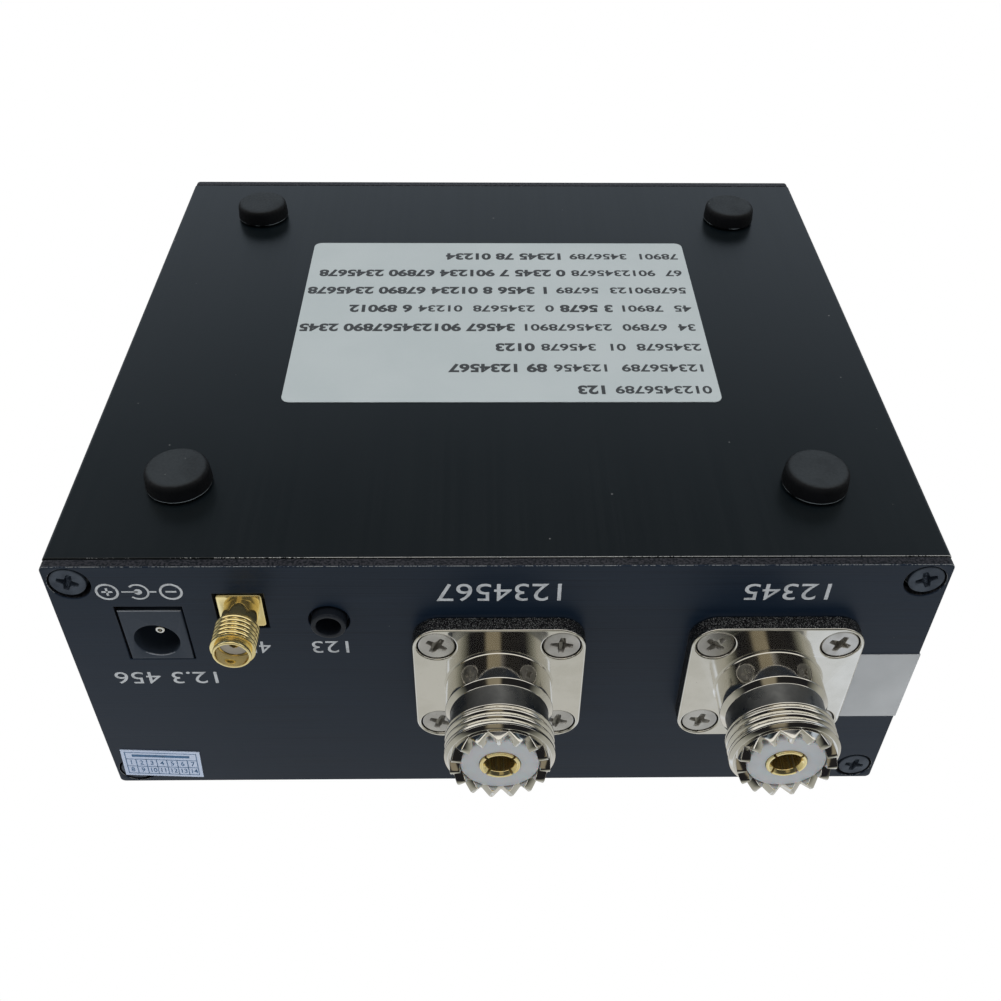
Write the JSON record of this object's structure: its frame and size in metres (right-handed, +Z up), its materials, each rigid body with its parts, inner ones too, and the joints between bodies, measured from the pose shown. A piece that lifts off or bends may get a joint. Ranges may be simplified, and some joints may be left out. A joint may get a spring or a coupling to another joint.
{
  "type": "coaxial antenna switch",
  "caption": "Antenna changeover box: split black extrusion with coaxial chassis sockets, a small receiver socket, a keying jack and a supply inlet on the rear panel, on rubber feet.",
  "frame": {"origin": "on the surface that the feet stand on, under the middle of the whole outline, sockets and button included", "axes": "+X to the right seen from the front panel, +Y towards the rear panel with the sockets, +Z up from the feet to the top cover"},
  "size_m": [0.1251, 0.1338, 0.0543],
  "materials": {
    "black_extrusion": "satin black anodised extrusion",
    "brushed_panel": "fine horizontal brushing, blue-black anodised",
    "black_screw": "black-oxide cross-head screws",
    "rubber": "matt black",
    "spec_label": "satin grey-white film with ruled lines",
    "date_label": "pale blue-white film with a dark blue frame",
    "seal_label": "silver-grey film",
    "nickel": "bright nickel plating",
    "ptfe": "waxy white fluoropolymer",
    "gold": "gold plating",
    "tin": "bright tin plating",
    "tinned_wire": "tinned copper wire",
    "black_plastic": "fine-grained black moulding",
    "button_plastic": "smooth black moulding",
    "circuit_board": "green solder mask",
    "capacitor_sleeve": "dark sleeve over an aluminium can",
    "chip_epoxy": "black moulding compound",
    "relay_cover": "blue moulding",
    "bobbin": "ivory nylon",
    "copper_winding": "enamelled copper wire",
    "relay_iron": "zinc-plated soft iron",
    "green_lamp": "green diffused lens",
    "red_lamp": "red diffused lens"
  },
  "bodies": {
    "enclosure": {"bottom_shell": "black_extrusion", "top_shell": "black_extrusion", "rear_panel": "brushed_panel", "front_panel": "brushed_panel", "rear_panel_screws": "black_screw", "front_panel_screws": "black_screw", "foot_rear_left": "rubber", "foot_rear_right": "rubber", "foot_front_left": "rubber", "foot_front_right": "rubber", "spec_label": "spec_label", "date_label": "date_label", "seal_label": "seal_label", "antenna_socket_shell": "nickel", "radio_socket_shell": "nickel", "antenna_socket_screws": "nickel", "radio_socket_screws": "nickel", "antenna_socket_nuts": "nickel", "radio_socket_nuts": "nickel", "antenna_socket_insulator": "ptfe", "radio_socket_insulator": "ptfe", "receiver_socket_insulator": "ptfe", "antenna_socket_contact": "gold", "radio_socket_contact": "gold", "receiver_socket_contact": "gold", "receiver_socket_body": "gold", "antenna_solder_tag": "tin", "radio_solder_tag": "tin", "keying_jack_contacts": "tin", "supply_inlet_contacts": "tin", "led_leads": "tin", "antenna_relay_contacts": "tin", "receiver_relay_contacts": "tin", "antenna_feed_wire": "tinned_wire", "radio_feed_wire": "tinned_wire", "keying_jack_body": "black_plastic", "supply_inlet_body": "black_plastic", "power_switch": "black_plastic", "antenna_relay_base": "black_plastic", "receiver_relay_base": "black_plastic", "circuit_board": "circuit_board", "capacitors": "capacitor_sleeve", "regulator": "chip_epoxy", "comparator_chip": "chip_epoxy", "driver_transistors": "chip_epoxy", "passive_parts": "chip_epoxy", "antenna_relay_cover": "relay_cover", "receiver_relay_cover": "relay_cover", "antenna_relay_bobbin": "bobbin", "receiver_relay_bobbin": "bobbin", "antenna_relay_winding": "copper_winding", "receiver_relay_winding": "copper_winding", "antenna_relay_yoke": "relay_iron", "receiver_relay_yoke": "relay_iron", "power_led": "green_lamp", "transmit_led": "red_lamp"},
    "power_button": {"power_button_cap": "button_plastic", "power_button_stem": "button_plastic"},
    "antenna_armature": {"antenna_relay_armature": "relay_iron"},
    "receiver_armature": {"receiver_relay_armature": "relay_iron"}
  },
  "joints": [
    {"name": "power_button_press", "type": "slide", "parent": "enclosure", "child": "power_button", "axis": [0, 1, 0], "range_m": [0, 0.0025], "stiffness_N_per_m": 120, "springref_m": -0.01},
    {"name": "antenna_armature_rock", "type": "hinge", "parent": "enclosure", "child": "antenna_armature", "pos_m": [0.02, 0.00178, 0.0233], "axis": [1, 0, 0], "range_deg": [-4, 0], "stiffness_Nm_per_rad": 0.004, "springref_deg": 8.59},
    {"name": "receiver_armature_rock", "type": "hinge", "parent": "enclosure", "child": "receiver_armature", "pos_m": [-0.0242, 0.00178, 0.0233], "axis": [1, 0, 0], "range_deg": [-4, 0], "stiffness_Nm_per_rad": 0.004, "springref_deg": 8.59}
  ],
  "couplings": [
    {"joint": "receiver_armature_rock", "follows": "antenna_armature_rock", "ratio": 1}
  ]
}
